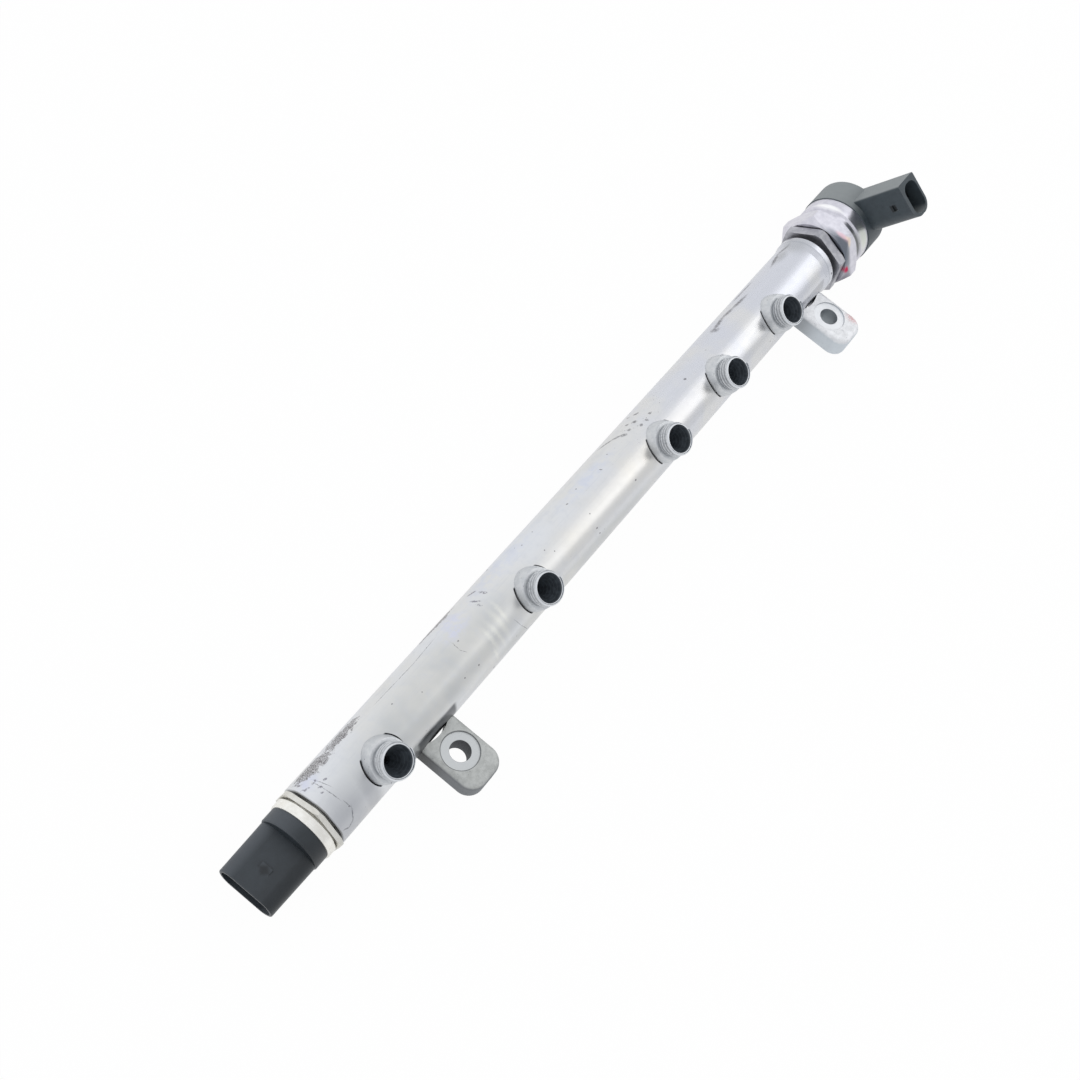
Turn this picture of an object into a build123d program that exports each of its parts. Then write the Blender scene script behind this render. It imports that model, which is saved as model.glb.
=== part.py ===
from build123d import *

import os
from math import cos, radians, sin, sqrt, tan

# A diesel fuel rail: a thick drilled tube with five threaded pipe ports, two mounting ears,
# a pressure sensor screwed into one end and a pressure control valve in the other.
# All sizes are millimetres. A station is a distance along the tube from its sensor end,
# and a height is a distance from the tube's axis along a port.

# Fits shared by every joint between pieces
seat_clearance = 0.03
thread_clearance = 0.05
running_clearance = 0.05

# Tube
tube_length = 347.5
tube_radius = 13.75
bore_radius = 5.0
mouth_chamfer = 0.8
rim_chamfer = 0.4
collar_swell = 0.8
collar_length = 3.2
collar_blend = 3.0

# Mounting ears, seated on their lower face and held by one bolt each
first_bolt_station = 53.1
far_bolt_inset = 18.1
bolt_offset = 24.3
bolt_hole_radius = 4.2
ear_width = 19.2
ear_overhang = 14.8
ear_thickness = 10.0
ear_rise = 2.0
ear_corner_radius = 6.5
ear_top_radius = 2.6
ear_foot_radius = 1.1
spot_face_radius = 7.5
spot_face_depth = 0.5
window_half_width = 7.4
window_gap = 0.95
window_sagitta = 1.95

# Ports: threaded nipples welded into pockets along the tube's crest
first_port_station = 28.7
second_port_pitch = 90.4
third_port_pitch = 91.5
fourth_port_pitch = 46.0
fifth_port_pitch = 46.0
port_tilt = 29.0
port_height = 22.8
port_thread_radius = 7.0
port_thread_length = 4.6
port_tip_chamfer = 0.6
port_tip_land = 0.35
port_relief_depth = 0.35
port_relief_length = 0.5
port_shoulder_radius = 8.25
port_foot_radius = 8.9
port_foot_land = 1.1
port_shoulder_round = 0.5
port_pocket_gap = 0.45
port_pocket_height = 12.5
port_saddle_height = 9.6
port_spigot_radius = 6.0
port_spigot_height = 8.6
port_mouth_radius = 5.85
port_mouth_depth = 0.5
port_cone_half_angle = 30.0
port_bore_radius = 1.5
throttle_radius = 0.45
throttle_length = 2.4

# Pressure sensor, steel parts
sensor_gap = 1.2
sensor_hex_width = 27.0
sensor_hex_height = 4.4
sensor_hex_angle = 8.0
sensor_hex_bevel = 0.9
sensor_thread_radius = 9.0
sensor_thread_length = 10.0
sensor_neck_radius = 8.2
sensor_neck_length = 2.7
sensor_thread_runout = 1.5
sensor_nose_radius = 6.8
sensor_nose_tip_radius = 4.2
sensor_pressure_bore_radius = 1.6
sensor_cup_radius = 10.8
sensor_cup_wall = 1.3
sensor_cup_depth = 2.9
sleeve_radius = 12.4
sleeve_length = 1.8
sleeve_spigot_wall = 0.7
sleeve_spigot_length = 3.2
cell_radius = 4.0
cell_height = 2.4
cell_membrane = 0.5
board_thickness = 1.0

# Pressure sensor, plug housing and its three blades
flange_radius = 12.6
flange_length = 5.9
flange_round = 0.5
plug_half_width = 12.2
plug_half_height = 5.9
plug_length = 21.7
plug_taper = 0.9
plug_wall = 1.1
plug_floor = 3.2
plug_mouth_round = 0.4
latch_width = 4.6
latch_length = 3.2
latch_height = 1.1
latch_from_mouth = 7.4
blade_width = 2.4
blade_thickness = 0.8
blade_pitch = 5.2
blade_reach = 13.0
blade_tip_bevel = 0.25

# Control valve cartridge, inside the tube
valve_thread_radius = 9.0
valve_thread_depth = 15.0
valve_thread_runout = 1.0
cartridge_radius = 7.0
cartridge_length = 14.0
cartridge_tip_radius = 5.6
seal_groove_radius = 5.4
seal_groove_width = 3.4
seal_groove_from_shoulder = 4.5
backup_ring_width = 1.2
seat_orifice_radius = 0.6
seat_depth = 3.0
ball_radius = 1.2
ball_cup_radius = 0.9
ball_cup_half_angle = 60.0
needle_radius = 1.75
needle_lift = 0.4
neck_radius = 8.3

# Control valve, outer parts from the tube's end outwards
nut_gap = 2.4
nut_width = 30.0
nut_height = 4.9
nut_hex_angle = -7.5
nut_bevel = 0.9
nut_to_hex_gap = 0.6
valve_hex_width = 34.0
valve_hex_height = 10.8
valve_hex_angle = 28.0
valve_hex_cone = 3.1
valve_hex_face_radius = 16.6
waist_radius = 16.3
waist_length = 2.6
band_radius = 17.2
band_length = 7.4
skirt_wall = 1.2
coil_chamber_radius = 14.0
coil_chamber_floor = 8.0
coil_chamber_length = 20.9
bobbin_wall = 0.9
bobbin_flange = 1.2
bobbin_bore_radius = 7.0
coil_depth = 5.3
armature_length = 7.0
armature_gap = 0.5
core_plate = 2.0
spring_pocket_radius = 2.6
spring_pocket_depth = 2.0
spring_length = 9.5
spring_wire_radius = 0.4
spring_turns = 5

# Control valve, plug cap moulded over the coil, and its two blades
cap_radius = 17.6
cap_length = 15.6
cap_lip = 0.25
cap_edge_radius = 1.4
arm_reach = 41.5
arm_centre_from_band = 10.3
arm_half_thickness = 6.8
arm_half_width = 9.3
arm_small_round = 1.0
arm_large_round = 5.6
arm_latch_wall = 2.2
arm_back_wall = 1.35
arm_square_wall = 2.1
arm_round_wall = 1.1
socket_depth = 17.5
socket_round = 4.2
arm_latch_width = 3.0
arm_latch_height = 2.2
arm_latch_recess = 0.7
arm_latch_from_mouth = 7.2
arm_blade_reach = 10.5
arm_blade_spacing = 6.4
arm_blade_root = 3.0

# Places worked out from the sizes above
seal_section_radius = sleeve_spigot_wall / 2 + seat_clearance
axis_height = ear_thickness - ear_rise
bolt_spacing = tube_length - first_bolt_station - far_bolt_inset
first_hole_radius = sensor_thread_radius + thread_clearance
last_hole_radius = valve_thread_radius + thread_clearance
cartridge_hole_radius = cartridge_radius + seat_clearance
sensor_hole_depth = (sensor_neck_length - sensor_gap) + sensor_thread_length + sensor_thread_runout
hex_face = -sensor_gap
sleeve_start = hex_face - sensor_hex_height
flange_start = sleeve_start - sleeve_length
plug_start = flange_start - flange_length
plug_mouth = plug_start - plug_length
nut_start = tube_length + nut_gap
valve_hex_start = nut_start + nut_height + nut_to_hex_gap
waist_start = valve_hex_start + valve_hex_height
band_start = waist_start + waist_length
cap_start = band_start + band_length
chamber_start = valve_hex_start + coil_chamber_floor
chamber_end = chamber_start + coil_chamber_length
cap_end = cap_start + cap_length
shoulder = tube_length - valve_thread_depth
cartridge_tip = shoulder - cartridge_length
seat_station = cartridge_tip + seat_depth
ball_centre = seat_station + sqrt(ball_radius**2 - seat_orifice_radius**2)
port_stations = [first_port_station]
for pitch in (second_port_pitch, third_port_pitch, fourth_port_pitch, fifth_port_pitch):
    port_stations.append(port_stations[-1] + pitch)

# The frame's origin lies midway between the two bolt holes, on the ears' seat face
place = Location((-first_bolt_station - bolt_spacing / 2, bolt_offset, axis_height))
arm_plane = Plane(
    origin=(cap_start + arm_centre_from_band, 0, 0),
    x_dir=(1, 0, 0),
    z_dir=(0, -sin(radians(port_tilt)), cos(radians(port_tilt))),
)
sensor_plane = Plane(origin=(0, 0, 0), x_dir=(0, 1, 0), z_dir=(-1, 0, 0))


def turned(*profile):
    """A solid turned about the tube's axis from (station, radius) corners."""
    return revolve(make_face(Polyline(*profile, close=True)), Axis.X)


def ring(start, stop, inner, outer):
    """A plain ring about the tube's axis."""
    return turned((start, inner), (stop, inner), (stop, outer), (start, outer))


def rod(start, stop, radius):
    """A plain cylinder about the tube's axis."""
    return turned((start, 0), (stop, 0), (stop, radius), (start, radius))


def hexagon(width, start, stop, angle, bevel_radius, bevel_length):
    """A hexagonal bar on the tube's axis, its corners turned to a cone at both ends."""
    corner = width / sqrt(3)
    base = Plane(origin=(start, 0, 0), x_dir=(0, 0, 1), z_dir=(1, 0, 0))
    bar = extrude(base * RegularPolygon(corner, 6, rotation=angle), stop - start)
    return bar & turned(
        (start, 0),
        (start, bevel_radius),
        (start + bevel_length, corner),
        (stop - bevel_length, corner),
        (stop, bevel_radius),
        (stop, 0),
    )


def beveled_hexagon(width, start, stop, angle, depth):
    """A hexagonal bar whose corners are cut back by a depth, at 30 degrees to its ends."""
    length = depth * tan(radians(30))
    return hexagon(width, start, stop, angle, width / sqrt(3) - depth, length)


def on_port(solid, station):
    """Moves a solid built on the Z axis to a port's station and tilt."""
    return Location((station, 0, 0), (port_tilt, 0, 0)) * solid


def standing(*profile):
    """A solid turned about the Z axis from (radius, height) corners."""
    corners = [(radius, 0, height) for radius, height in profile]
    return revolve(make_face(Polyline(*corners, close=True)), Axis.Z)


def make_tube():
    seat_cone_end = sensor_hole_depth + first_hole_radius - bore_radius
    cone_to_bore = cartridge_tip - (cartridge_hole_radius - bore_radius)
    collar_radius = tube_radius + collar_swell
    body = turned(
        (0, 0),
        (0, tube_radius - rim_chamfer),
        (rim_chamfer, tube_radius),
        (tube_length - collar_length - collar_blend, tube_radius),
        (tube_length - collar_length, collar_radius),
        (tube_length - rim_chamfer, collar_radius),
        (tube_length, collar_radius - rim_chamfer),
        (tube_length, 0),
    )
    body -= turned(
        (0, 0),
        (0, first_hole_radius + mouth_chamfer),
        (mouth_chamfer, first_hole_radius),
        (sensor_hole_depth, first_hole_radius),
        (seat_cone_end, bore_radius),
        (cone_to_bore, bore_radius),
        (cartridge_tip, cartridge_hole_radius),
        (shoulder, cartridge_hole_radius),
        (shoulder, last_hole_radius),
        (tube_length - mouth_chamfer, last_hole_radius),
        (tube_length, last_hole_radius + mouth_chamfer),
        (tube_length, 0),
    )
    pocket = standing(
        (0, 0),
        (port_bore_radius, 0),
        (port_bore_radius, port_spigot_height),
        (port_spigot_radius + seat_clearance, port_spigot_height),
        (port_spigot_radius + seat_clearance, port_pocket_height),
        (port_foot_radius + port_pocket_gap, port_pocket_height),
        (port_foot_radius + port_pocket_gap, port_height),
        (0, port_height),
    )
    for station in port_stations:
        body -= on_port(pocket, station)
    return body


def make_port():
    shoulder_height = port_height - port_tip_chamfer - port_thread_length - port_relief_length
    thread_end = shoulder_height + port_relief_length
    relief_radius = port_thread_radius - port_relief_depth
    cone_depth = (port_mouth_radius - port_bore_radius) / tan(radians(port_cone_half_angle))
    cone_end = port_height - port_mouth_depth - cone_depth
    outside = standing(
        (0, port_spigot_height),
        (port_spigot_radius, port_spigot_height),
        (port_spigot_radius, port_pocket_height),
        (port_foot_radius, port_pocket_height),
        (port_foot_radius, port_pocket_height + port_foot_land),
        (port_shoulder_radius, shoulder_height - port_shoulder_round),
        (port_shoulder_radius - port_shoulder_round, shoulder_height),
        (relief_radius, shoulder_height),
        (relief_radius, thread_end - port_relief_depth / 2),
        (port_thread_radius, thread_end),
        (port_thread_radius, port_height - port_tip_chamfer),
        (port_mouth_radius + port_tip_land, port_height),
        (0, port_height),
    )
    inside = standing(
        (0, port_spigot_height),
        (throttle_radius, port_spigot_height),
        (throttle_radius, port_spigot_height + throttle_length),
        (port_bore_radius, port_spigot_height + throttle_length),
        (port_bore_radius, cone_end),
        (port_mouth_radius, port_height - port_mouth_depth),
        (port_mouth_radius, port_height),
        (0, port_height),
    )
    return outside + make_port_saddle() - inside


def make_port_saddle():
    """The foot's skirt, which reaches down the tube's sides where they fall away from it."""
    skirt = standing(
        (port_spigot_radius, port_saddle_height),
        (port_foot_radius, port_saddle_height),
        (port_foot_radius, port_pocket_height),
        (port_spigot_radius, port_pocket_height),
    )
    tube = Cylinder(tube_radius + seat_clearance, 4 * port_foot_radius, rotation=(0, 90, 0))
    return skirt - tube


def make_ear():
    """A forged ear at station zero: two horns reach the tube round a narrow window."""
    outer_end = -(bolt_offset + ear_overhang)
    inner_end = -sqrt(tube_radius**2 - axis_height**2) + ear_rise
    length = inner_end - outer_end
    base = Plane.XY.offset(-axis_height)
    outline = base * Pos(0, (inner_end + outer_end) / 2) * Rectangle(ear_width, length)
    outer_corners = outline.vertices().sort_by(Axis.Y)[:2]
    ear = extrude(fillet(outer_corners, ear_corner_radius), ear_thickness)
    for side, radius in ((-1, ear_top_radius), (0, ear_foot_radius)):
        rim = ear.faces().sort_by(Axis.Z)[side].edges()
        ear = fillet([edge for edge in rim if edge.center().Y < inner_end - radius], radius)
    window_middle = -(tube_radius + window_gap)
    window_radius = (window_half_width**2 + window_sagitta**2) / (2 * window_sagitta)
    window_centre = window_middle + window_radius
    through = 2 * ear_thickness
    ear -= Pos(0, window_centre, 0) * Cylinder(window_radius, through)
    ear -= Pos(0, -bolt_offset, 0) * Cylinder(bolt_hole_radius, through)
    face = Pos(0, -bolt_offset, ear_rise)
    ear -= face * Cylinder(spot_face_radius, 2 * spot_face_depth)
    ear -= rod(-ear_width, ear_width, tube_radius + seat_clearance)
    return ear


def make_sensor_body():
    thread_start = hex_face + sensor_neck_length
    thread_end = thread_start + sensor_thread_length
    cone_start = sensor_hole_depth + first_hole_radius - sensor_nose_radius - seat_clearance
    cone_end = cone_start + sensor_nose_radius - sensor_nose_tip_radius
    cup_end = sleeve_start - sensor_cup_depth
    body = beveled_hexagon(sensor_hex_width, sleeve_start, hex_face, sensor_hex_angle,
                           sensor_hex_bevel)
    body += turned(
        (sleeve_start, 0),
        (sleeve_start, sensor_neck_radius),
        (thread_start, sensor_neck_radius),
        (thread_start + thread_clearance, sensor_thread_radius),
        (thread_end, sensor_thread_radius),
        (thread_end + sensor_thread_radius - sensor_nose_radius, sensor_nose_radius),
        (cone_start, sensor_nose_radius),
        (cone_end, sensor_nose_tip_radius),
        (cone_end, 0),
    )
    body += ring(cup_end, sleeve_start, sensor_cup_radius - sensor_cup_wall, sensor_cup_radius)
    return body - rod(sleeve_start, cone_end, sensor_pressure_bore_radius)


def make_sensor_sleeve():
    inner = sensor_cup_radius + seat_clearance
    spigot = inner + sleeve_spigot_wall
    return turned(
        (sleeve_start, inner),
        (sleeve_start, sleeve_radius),
        (flange_start, sleeve_radius),
        (flange_start, spigot),
        (flange_start - sleeve_spigot_length, spigot),
        (flange_start - sleeve_spigot_length, inner),
    )


def make_sensor_cell():
    """A steel hat whose thin crown is the membrane that the fuel pressure bends."""
    crown = sleeve_start - cell_height
    hat = ring(crown, sleeve_start, sensor_pressure_bore_radius, cell_radius)
    return hat + rod(crown, crown + cell_membrane, cell_radius)


def make_circuit_board():
    """A round board on the cup's rim, with two chips on its plug side."""
    top = sleeve_start - sensor_cup_depth - board_thickness
    chip_height = board_thickness
    board = rod(top, top + board_thickness, sensor_cup_radius)
    for side in (-1, 1):
        chip = Box(chip_height, cell_radius, cell_radius)
        board += Pos(top - chip_height / 2, side * cell_radius, -cell_radius) * chip
    return board


def make_sensor_seal():
    """An O-ring that the sleeve's spigot presses against the plug housing."""
    section_centre = flange_start - sleeve_spigot_length - seal_section_radius
    centre_radius = sensor_cup_radius + seat_clearance + sleeve_spigot_wall / 2
    section = Plane.XY * Pos(section_centre, centre_radius) * Circle(seal_section_radius)
    return revolve(section, Axis.X)


def sensor_blade(index):
    """One of the three blades, from the board's face to short of the plug's mouth."""
    root = sleeve_start - sensor_cup_depth - board_thickness
    tip = plug_start - plug_floor - blade_reach
    centre = (index - 1) * blade_pitch
    blade = Pos((root + tip) / 2, centre, 0) * Box(root - tip, blade_width, blade_thickness)
    tip_face = blade.faces().sort_by(Axis.X)[0]
    return chamfer(tip_face.edges(), blade_tip_bevel)


def make_sensor_plug():
    spigot_hole = sensor_cup_radius + sleeve_spigot_wall + 2 * seat_clearance
    seal_step = flange_start - sleeve_spigot_length - 2 * seal_section_radius
    flange = turned(
        (flange_start, 0),
        (flange_start, flange_radius),
        (plug_start + flange_round, flange_radius),
        (plug_start, flange_radius - flange_round),
        (plug_start, 0),
    )
    outline = SlotOverall(2 * plug_half_width, 2 * plug_half_height)
    shell = extrude(sensor_plane.offset(-plug_start) * outline, plug_length, taper=plug_taper)
    mouth_edges = shell.faces().sort_by(Axis.X)[0].edges()
    shell = fillet(mouth_edges, plug_mouth_round)
    mouth_inset = plug_length * tan(radians(plug_taper)) + plug_wall
    mouth = SlotOverall(2 * (plug_half_width - mouth_inset), 2 * (plug_half_height - mouth_inset))
    cavity_depth = plug_length - plug_floor
    mouth_plane = Plane(origin=(plug_mouth, 0, 0), x_dir=(0, 1, 0), z_dir=(1, 0, 0))
    cavity = extrude(mouth_plane * mouth, cavity_depth, taper=plug_taper)
    ramp_start = plug_mouth + latch_from_mouth
    ramp_profile = Polyline(
        (ramp_start, 0, plug_half_height - plug_wall),
        (ramp_start + latch_length, 0, plug_half_height - plug_wall),
        (ramp_start + latch_length, 0, plug_half_height + latch_height - plug_mouth_round),
        (ramp_start, 0, plug_half_height - plug_mouth_round),
        close=True,
    )
    ramp = extrude(make_face(ramp_profile), latch_width / 2, both=True)
    plug = flange + shell + ramp
    plug -= cavity
    chamber_end_station = sleeve_start - sensor_cup_depth - 2 * board_thickness
    board_chamber = sensor_cup_radius + seat_clearance
    plug -= rod(seal_step, flange_start, spigot_hole)
    plug -= rod(min(chamber_end_station, seal_step), flange_start, board_chamber)
    for index in range(3):
        plug -= sensor_blade(index)
    return plug


def make_valve_body():
    """The cartridge: seat and orifice in the tube, thread, neck, and a head in the housing."""
    groove_end = shoulder - seal_groove_from_shoulder
    groove_start = groove_end - seal_groove_width
    tip_step = cartridge_radius - cartridge_tip_radius
    head_end = chamber_start
    body = turned(
        (cartridge_tip, 0),
        (cartridge_tip, cartridge_tip_radius),
        (cartridge_tip + tip_step, cartridge_radius),
        (groove_start, cartridge_radius),
        (groove_start, seal_groove_radius),
        (groove_end, seal_groove_radius),
        (groove_end, cartridge_radius),
        (shoulder + valve_thread_runout, cartridge_radius),
        (shoulder + valve_thread_runout, valve_thread_radius),
        (tube_length - mouth_chamfer, valve_thread_radius),
        (tube_length, neck_radius),
        (nut_start - valve_thread_runout, neck_radius),
        (nut_start, valve_thread_radius),
        (head_end, valve_thread_radius),
        (head_end, 0),
    )
    body -= rod(cartridge_tip, ball_centre, seat_orifice_radius)
    guide_radius = needle_radius + running_clearance
    return body - rod(seat_station, head_end, guide_radius)


def make_seal_ring():
    """An O-ring in the cartridge's groove, squeezed to the groove's depth."""
    section = (cartridge_radius - seal_groove_radius) / 2
    start = shoulder - seal_groove_from_shoulder - seal_groove_width
    centre = start + section + (seal_groove_width - backup_ring_width - 2 * section) / 2
    circle = Plane.XY * Pos(centre, seal_groove_radius + section) * Circle(section)
    return revolve(circle, Axis.X)


def make_backup_ring():
    end = shoulder - seal_groove_from_shoulder
    return ring(end - backup_ring_width, end, seal_groove_radius, cartridge_radius)


def make_lock_nut():
    stop = nut_start + nut_height
    nut = beveled_hexagon(nut_width, nut_start, stop, nut_hex_angle, nut_bevel)
    return nut - rod(nut_start, stop, valve_thread_radius + thread_clearance)


def make_valve_housing():
    hexed = hexagon(valve_hex_width, valve_hex_start, waist_start, valve_hex_angle,
                    valve_hex_face_radius, valve_hex_cone)
    skirt_radius = coil_chamber_radius + skirt_wall
    upper = turned(
        (waist_start, 0),
        (waist_start, waist_radius),
        (band_start, waist_radius),
        (band_start + (band_radius - waist_radius), band_radius),
        (cap_start, band_radius),
        (cap_start, skirt_radius),
        (chamber_end, skirt_radius),
        (chamber_end, 0),
    )
    housing = hexed + upper
    housing -= rod(chamber_start, chamber_end, coil_chamber_radius)
    return housing - rod(valve_hex_start, chamber_start, valve_thread_radius + seat_clearance)


def make_bobbin():
    outer = coil_chamber_radius - seat_clearance
    wall = bobbin_bore_radius + bobbin_wall
    top = chamber_end - core_plate
    return turned(
        (chamber_start, bobbin_bore_radius),
        (chamber_start, outer),
        (chamber_start + bobbin_flange, outer),
        (chamber_start + bobbin_flange, wall),
        (top - bobbin_flange, wall),
        (top - bobbin_flange, outer),
        (top, outer),
        (top, bobbin_bore_radius),
    )


def make_coil():
    wall = bobbin_bore_radius + bobbin_wall + seat_clearance
    start = chamber_start + bobbin_flange
    stop = chamber_end - core_plate - bobbin_flange
    return ring(start, stop, wall, wall + coil_depth)


def armature_start():
    return chamber_start + armature_gap


def armature_end():
    return armature_start() + armature_length


def make_armature():
    """The moving iron with its needle, whose conical cup holds the ball on its seat."""
    cup_bottom = ball_centre + ball_radius / sin(radians(ball_cup_half_angle))
    needle_end = cup_bottom - ball_cup_radius / tan(radians(ball_cup_half_angle))
    iron = bobbin_bore_radius - running_clearance
    body = turned(
        (cup_bottom, 0),
        (needle_end, ball_cup_radius),
        (needle_end, ball_radius),
        (needle_end + needle_radius - ball_radius, needle_radius),
        (armature_start(), needle_radius),
        (armature_start(), iron),
        (armature_end(), iron),
        (armature_end(), 0),
    )
    pocket_floor = armature_end() - spring_pocket_depth
    return body - rod(pocket_floor, armature_end(), spring_pocket_radius)


def make_core():
    """The fixed core: it stops the armature's lift, holds the spring and closes the coil."""
    start = armature_end() + needle_lift + running_clearance
    inner = bobbin_bore_radius - seat_clearance
    core = turned(
        (start, 0),
        (start, inner),
        (chamber_end - core_plate, inner),
        (chamber_end - core_plate, coil_chamber_radius - seat_clearance),
        (chamber_end, coil_chamber_radius - seat_clearance),
        (chamber_end, 0),
    )
    spring_end = armature_end() - spring_pocket_depth + spring_length
    return core - rod(start, spring_end, spring_pocket_radius)


def make_spring():
    """A round-wire coil spring between the armature's pocket and the core's."""
    start = armature_end() - spring_pocket_depth
    rise = spring_length - 2 * spring_wire_radius
    mean_radius = spring_pocket_radius - spring_wire_radius - running_clearance
    path = Helix(pitch=rise / spring_turns, height=rise, radius=mean_radius)
    wire_plane = Plane(origin=path @ 0, z_dir=path % 0)
    coil = sweep(wire_plane * Circle(spring_wire_radius), path)
    return Location((start + spring_wire_radius, 0, 0), (0, 90, 0)) * coil


def arm_blade(side):
    """One of the valve's two blades, rooted in the cap and standing in its socket."""
    floor = arm_reach - socket_depth
    stop = floor + arm_blade_reach
    start = floor - arm_blade_root
    blade = Box(blade_thickness, blade_width, stop - start)
    offset_x = (arm_latch_wall - arm_back_wall) / 2
    offset_y = (arm_round_wall - arm_square_wall + side * arm_blade_spacing) / 2
    blade = arm_plane * Pos(offset_x, offset_y, (start + stop) / 2) * blade
    direction = Axis((0, 0, 0), arm_plane.z_dir)
    tip_face = blade.faces().sort_by(direction)[-1]
    return chamfer(tip_face.edges(), blade_tip_bevel)


def arm_section():
    """The plug arm's section: two nearly square corners and two well rounded ones."""
    section = Rectangle(2 * arm_half_thickness, 2 * arm_half_width)
    corners = section.vertices().sort_by(Axis.Y)
    section = fillet(corners[2:], arm_small_round)
    corners = section.vertices().sort_by(Axis.Y)
    return fillet(corners[:2], arm_large_round)


def socket_section():
    """The socket's section, set off centre because the arm's four walls differ."""
    thickness = 2 * arm_half_thickness - arm_latch_wall - arm_back_wall
    width = 2 * arm_half_width - arm_square_wall - arm_round_wall
    offset_x = (arm_latch_wall - arm_back_wall) / 2
    offset_y = (arm_round_wall - arm_square_wall) / 2
    section = Rectangle(thickness, width)
    return Pos(offset_x, offset_y) * fillet(section.vertices(), socket_round)


def make_valve_cap():
    skirt_radius = coil_chamber_radius + skirt_wall + seat_clearance
    cap = turned(
        (cap_start, 0),
        (cap_start, band_radius + cap_lip / 2),
        (cap_start + cap_lip, cap_radius),
        (cap_end, cap_radius),
        (cap_end, 0),
    )
    cap = fillet(cap.edges().sort_by(Axis.X)[-1], cap_edge_radius)
    arm_back = cap_start + arm_centre_from_band + arm_half_thickness
    cap += rod(cap_end - arm_half_thickness, arm_back, arm_half_width)
    cap += extrude(arm_plane * arm_section(), arm_reach)
    cap -= rod(cap_start, chamber_end, skirt_radius)
    floor = arm_reach - socket_depth
    cap -= extrude(arm_plane.offset(floor) * socket_section(), socket_depth)
    latch = Box(2 * arm_latch_recess, arm_latch_width, arm_latch_height)
    latch_height = arm_reach - arm_latch_from_mouth
    cap -= arm_plane * Pos(-arm_half_thickness, 0, latch_height) * latch
    for side in (-1, 1):
        cap -= arm_blade(side)
    return cap


def save(solid, node):
    export_step(place * solid, f"parts/{node}.step")


os.makedirs("parts", exist_ok=True)
save(make_tube(), "rail_tube")
for number, station in enumerate(port_stations, start=1):
    save(on_port(make_port(), station), f"port_{number}")
save(Pos(first_bolt_station, 0, 0) * make_ear(), "near_bracket")
save(Pos(first_bolt_station + bolt_spacing, 0, 0) * make_ear(), "far_bracket")

save(make_sensor_body(), "sensor_body")
save(make_sensor_sleeve(), "sensor_sleeve")
save(make_sensor_cell(), "sensor_cell")
save(make_circuit_board(), "sensor_circuit_board")
save(make_sensor_seal(), "sensor_seal")
save(make_sensor_plug(), "sensor_plug_housing")
for index in range(3):
    save(sensor_blade(index), f"sensor_terminal_{index + 1}")

save(make_valve_body(), "valve_body")
save(make_seal_ring(), "valve_seal_ring")
save(make_backup_ring(), "valve_backup_ring")
save(make_lock_nut(), "valve_lock_nut")
save(make_valve_housing(), "valve_housing")
save(make_bobbin(), "valve_bobbin")
save(make_coil(), "valve_coil")
save(make_armature(), "valve_armature")
save(Pos(ball_centre, 0, 0) * Sphere(ball_radius), "valve_ball")
save(make_core(), "valve_core")
save(make_spring(), "valve_spring")
save(make_valve_cap(), "valve_plug_cap")
for number, side in enumerate((-1, 1), start=1):
    save(arm_blade(side), f"valve_terminal_{number}")
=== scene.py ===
# %% [markdown]
# # A used diesel fuel rail
#
# The rail is a thick steel tube, zinc plated after its ports and ears were joined to it. A pressure
# sensor closes one end and a control valve the other. The solids are already made, so this file
# gives every surface its finish and adds the fine forms that a machine leaves: the pipe threads and
# the groove beside the sensor's hexagon. Everything is in metres, unless a name or comment says
# millimetres. X runs along the tube, Z is up, and the ears point to -Y.

from math import atan2, cos, degrees, hypot, pi, radians, sin

import bmesh
import bpy
from mathutils import Matrix, Quaternion, Vector


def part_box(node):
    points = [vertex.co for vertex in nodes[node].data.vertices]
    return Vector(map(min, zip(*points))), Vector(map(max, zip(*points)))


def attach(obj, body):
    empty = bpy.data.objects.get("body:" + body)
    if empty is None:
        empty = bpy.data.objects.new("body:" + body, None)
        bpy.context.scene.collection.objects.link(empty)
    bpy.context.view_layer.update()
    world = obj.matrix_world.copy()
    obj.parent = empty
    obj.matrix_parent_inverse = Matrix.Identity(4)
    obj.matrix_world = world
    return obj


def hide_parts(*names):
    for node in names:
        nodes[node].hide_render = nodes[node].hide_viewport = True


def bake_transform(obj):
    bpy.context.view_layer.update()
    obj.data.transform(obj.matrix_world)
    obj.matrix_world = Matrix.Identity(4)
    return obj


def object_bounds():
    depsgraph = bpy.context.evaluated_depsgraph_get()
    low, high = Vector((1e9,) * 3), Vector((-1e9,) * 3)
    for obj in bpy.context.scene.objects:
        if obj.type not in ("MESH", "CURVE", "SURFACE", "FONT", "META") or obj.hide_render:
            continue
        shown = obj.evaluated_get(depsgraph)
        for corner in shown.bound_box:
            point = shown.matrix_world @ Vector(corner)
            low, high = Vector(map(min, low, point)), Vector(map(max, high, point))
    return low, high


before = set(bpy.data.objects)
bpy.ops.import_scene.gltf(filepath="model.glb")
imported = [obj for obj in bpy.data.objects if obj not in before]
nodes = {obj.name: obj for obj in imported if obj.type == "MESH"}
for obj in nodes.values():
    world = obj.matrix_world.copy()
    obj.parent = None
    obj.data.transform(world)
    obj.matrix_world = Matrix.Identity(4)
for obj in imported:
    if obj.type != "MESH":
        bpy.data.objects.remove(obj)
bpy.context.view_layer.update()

# %% [markdown]
# The tube's axis is the line that everything else is measured from. A station is a distance along
# it from the sensor end. The ports lean 29 degrees towards the ears. The hole in each ear is where
# the solid's own box says: in the middle of the ear's width, and a fixed way in from its far end.
# A short collar, in millimetres here, ends the tube beside the valve; only its edge is drawn,
# as a painted line of shade.

# %% Places on the rail
MM = 0.001
AXIS = Vector((-0.19125, 0.0243, 0.008))
TUBE_RADIUS = 0.01375
LEAN = radians(29)
PORT_STATIONS = (0.0287, 0.1191, 0.2106, 0.2566, 0.3026)
BOLT_TO_EAR_END = 0.0148
COLLAR_LENGTH = 3.2


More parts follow.
